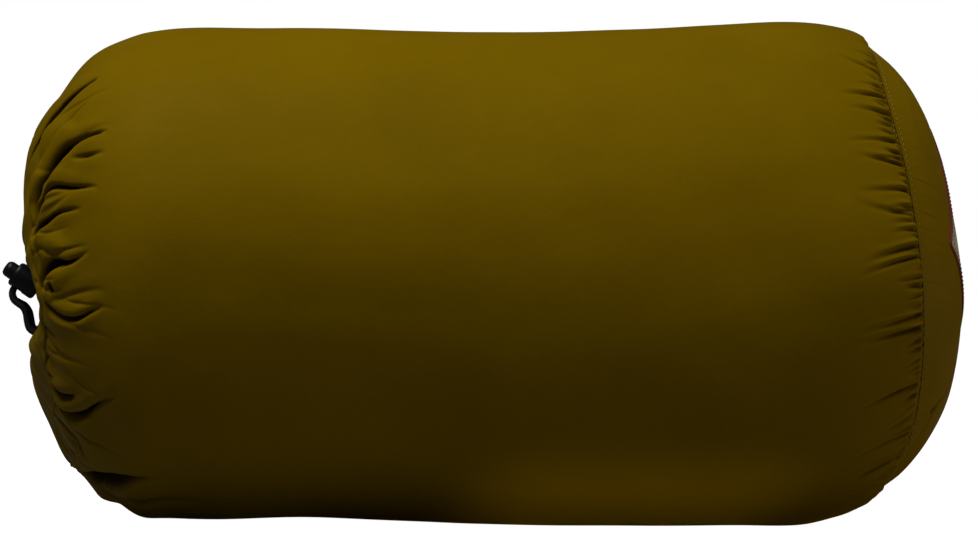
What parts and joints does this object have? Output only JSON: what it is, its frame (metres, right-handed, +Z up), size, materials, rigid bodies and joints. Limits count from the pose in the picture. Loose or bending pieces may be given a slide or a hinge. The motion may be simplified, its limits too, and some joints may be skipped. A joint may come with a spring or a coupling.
{
  "type": "stuff sack",
  "caption": "Round-ended drawcord stuff sack packed full, lying on its side, with a gathered mouth, drawcord, cord lock and sewn base panel.",
  "frame": {"origin": "bottom centre of the packed sack as it lies on its side on the floor, measured without the free cord and the cord lock on it", "axes": "+X along the sack from the drawn-shut mouth to the round base, +Z up, +Y to the side with the side seam"},
  "size_m": [0.439, 0.231, 0.2285],
  "materials": {
    "body_fabric": "smooth",
    "seam_fabric": "smooth",
    "hem_fabric": "smooth",
    "base_fabric": "smooth",
    "filling": "matte",
    "binding_tape": "matte",
    "thread": "matte",
    "cord_braid": "matte",
    "lock_plastic": "satin",
    "spring_steel": "satin",
    "label_weave": "matte"
  },
  "bodies": {
    "sack": {"body_panel": "body_fabric", "body_mouth_end": "body_fabric", "base_panel": "base_fabric", "packed_contents": "filling", "base_seam_binding": "binding_tape", "base_seam_stitching": "thread", "side_seam_strip": "seam_fabric", "side_seam_stitching": "thread", "drawcord_channel": "hem_fabric", "channel_stitching": "thread", "exit_buttonhole": "thread", "drawcord": "cord_braid", "drawcord_tail_coil": "cord_braid", "drawcord_end_knot": "cord_braid", "base_label": "label_weave", "base_label_stitching": "thread"},
    "cord_lock": {"lock_barrel": "lock_plastic", "lock_spring": "spring_steel"},
    "lock_button": {"lock_button": "lock_plastic"}
  },
  "joints": [
    {"name": "cord_lock_slide", "type": "slide", "parent": "sack", "child": "cord_lock", "axis": [-0.7071, 0, -0.7071], "range_m": [0, 0.06], "deforming": ["drawcord"]},
    {"name": "lock_button_press", "type": "slide", "parent": "cord_lock", "child": "lock_button", "axis": [0.8192, 0, -0.5736], "range_m": [0, 0.002], "stiffness_N_per_m": 800, "springref_m": -0.001, "deforming": ["lock_spring"]}
  ]
}
